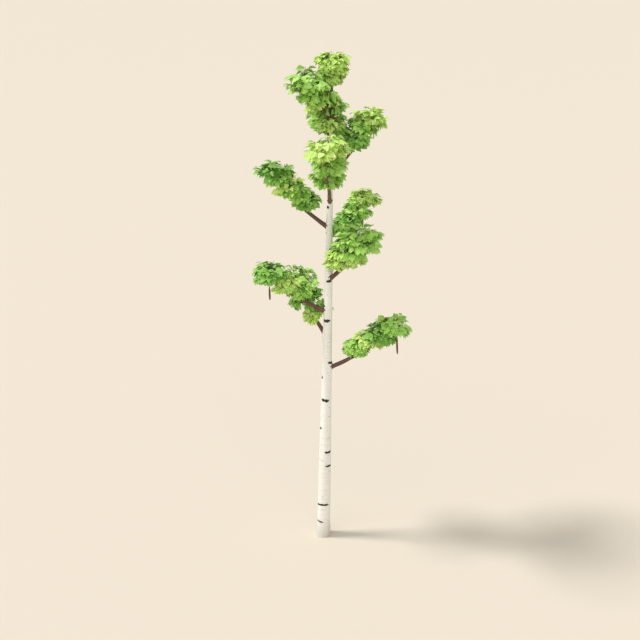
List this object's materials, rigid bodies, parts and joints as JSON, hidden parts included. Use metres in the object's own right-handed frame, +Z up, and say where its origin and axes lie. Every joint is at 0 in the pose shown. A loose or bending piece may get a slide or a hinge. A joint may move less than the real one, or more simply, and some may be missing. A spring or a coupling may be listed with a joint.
{
  "type": "birch sapling",
  "caption": "Young silver birch with a slim white trunk, dark bark marks, upswept brown boughs and sprays of green leaves with hanging catkins; rooted in the ground.",
  "frame": {"origin": "middle of the flat cut under the trunk, at ground level", "axes": "+Z up the trunk, +X to the right and +Y to the back as the plant is seen from its front"},
  "size_m": [0.896, 0.8463, 3.0103],
  "materials": {
    "white_bark": "papery white bark with dark marks",
    "brown_bark": "smooth reddish brown bark with pale dots",
    "leaf_mid": "satin green leaves",
    "leaf_dark": "satin dark green leaves",
    "leaf_light": "satin yellow green leaves"
  },
  "bodies": {
    "root": {"trunk": "white_bark", "bough_right_low": "brown_bark", "bough_left_back": "brown_bark", "bough_left_mid": "brown_bark", "bough_right_front": "brown_bark", "bough_right_back": "brown_bark", "bough_left_up": "brown_bark", "bough_front": "brown_bark", "bough_right_up": "brown_bark", "bough_top_back": "brown_bark", "bough_top_left": "brown_bark", "foliage_right_low": "leaf_mid", "foliage_left_back": "leaf_dark", "foliage_left_mid": "leaf_light", "foliage_right_front": "leaf_mid", "foliage_right_back": "leaf_dark", "foliage_left_up": "leaf_light", "foliage_front": "leaf_mid", "foliage_right_up": "leaf_dark", "foliage_top_back": "leaf_light", "foliage_top_left": "leaf_mid", "foliage_leader": "leaf_dark"}
  },
  "joints": []
}
